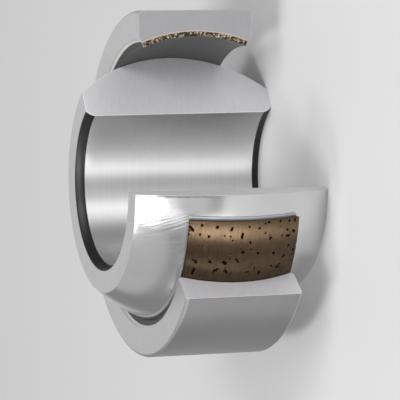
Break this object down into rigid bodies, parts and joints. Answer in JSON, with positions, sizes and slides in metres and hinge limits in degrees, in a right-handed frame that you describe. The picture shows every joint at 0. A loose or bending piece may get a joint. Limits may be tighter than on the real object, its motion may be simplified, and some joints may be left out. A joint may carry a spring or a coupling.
{
  "type": "spherical plain bearing",
  "caption": "Cutaway spherical plain bearing: ball-shaped steel inner ring that tilts in a steel outer ring lined with sintered bronze and a dry sliding film.",
  "frame": {"origin": "centre of the ball, on the bearing axis, midway between the faces", "axes": "+Z along the bearing axis; +X points at the outer ring's first cut face"},
  "size_m": [0.026, 0.0243, 0.015],
  "materials": {
    "outer_ring_steel": "ground",
    "sintered_bronze": "porous, sintered",
    "ptfe_film": "matte",
    "ball_steel": "polished"
  },
  "bodies": {
    "outer_ring": {"outer_ring": "outer_ring_steel", "bronze_lining": "sintered_bronze", "sliding_film": "ptfe_film"},
    "inner_ring": {"inner_ring": "ball_steel"}
  },
  "joints": [
    {"name": "inner_ring_tilt", "type": "hinge", "parent": "outer_ring", "child": "inner_ring", "pos_m": [0, 0, 0], "axis": [1, 0, 0], "range_deg": [-18, 18]}
  ]
}
